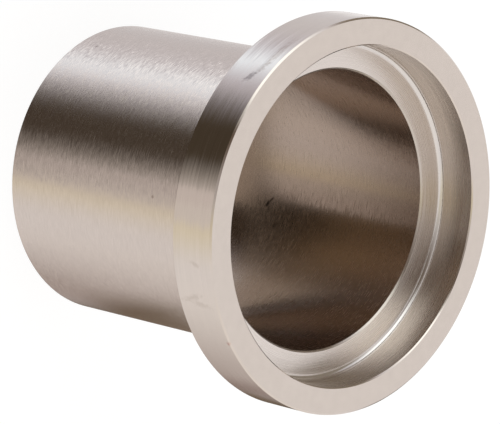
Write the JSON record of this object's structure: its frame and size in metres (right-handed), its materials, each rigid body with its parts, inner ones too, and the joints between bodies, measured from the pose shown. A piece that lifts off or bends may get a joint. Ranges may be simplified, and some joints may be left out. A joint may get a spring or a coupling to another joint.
{
  "type": "sanitary weld ferrule",
  "caption": "Turned stainless weld ferrule: a straight thin-walled tube stub with a thick clamp flange, counterbored in its face for a gasket and the mating ferrule.",
  "frame": {"origin": "centre of the weld end, on its plane", "axes": "+Z along the tube's axis, from the weld end to the flange face; the part is round about Z, so X and Y are free"},
  "size_m": [0.0842, 0.0842, 0.073],
  "materials": {
    "stainless": "satin ground tube, fine turned flange"
  },
  "bodies": {
    "root": {"weld_ferrule": "stainless"}
  },
  "joints": []
}
